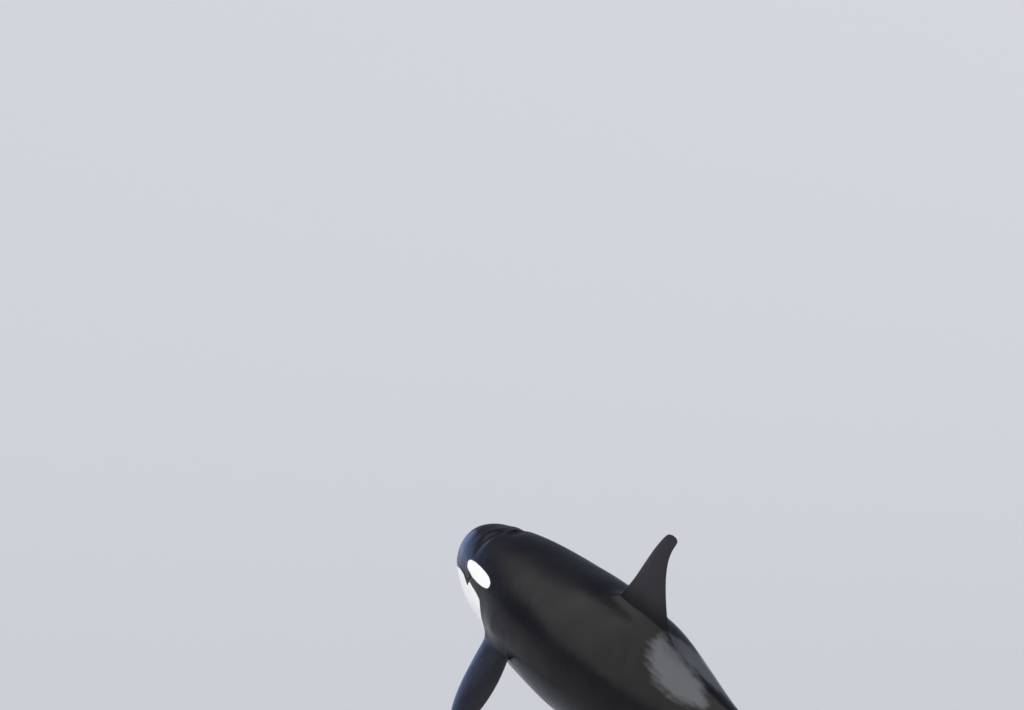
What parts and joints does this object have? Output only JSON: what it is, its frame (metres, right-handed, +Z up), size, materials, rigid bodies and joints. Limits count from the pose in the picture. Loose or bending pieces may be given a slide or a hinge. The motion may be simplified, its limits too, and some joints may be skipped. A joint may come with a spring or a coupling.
{
  "type": "life-size orca model on a display stand",
  "caption": "Still life-size orca, nose up as it surfaces, with dorsal fin, flippers and flukes, held on two rods above a flat base.",
  "frame": {"origin": "middle of the whole model's box, at the level of the floor under the stand base", "axes": "snout towards -Y, the animal's left side towards +X, +Z up"},
  "size_m": [2.2412, 5.7288, 2.3945],
  "materials": {
    "skin_black": "smooth wet whale skin, black to dark grey, with the white and grey markings drawn in the scene",
    "skin_white": "smooth wet whale skin, white",
    "eye": "wet dark brown eye",
    "base_paint": "matt dark grey powder coat",
    "rod_steel": "brushed stainless steel"
  },
  "bodies": {
    "root": {"head": "skin_black", "lower_jaw": "skin_white", "torso": "skin_black", "tail_stock": "skin_black", "dorsal_fin": "skin_black", "flipper_left": "skin_black", "flipper_right": "skin_black", "fluke_left": "skin_black", "fluke_right": "skin_black", "eye_left": "eye", "eye_right": "eye", "stand_base": "base_paint", "stand_foot_front": "rod_steel", "stand_foot_rear": "rod_steel", "stand_rod_front": "rod_steel", "stand_rod_rear": "rod_steel"}
  },
  "joints": []
}
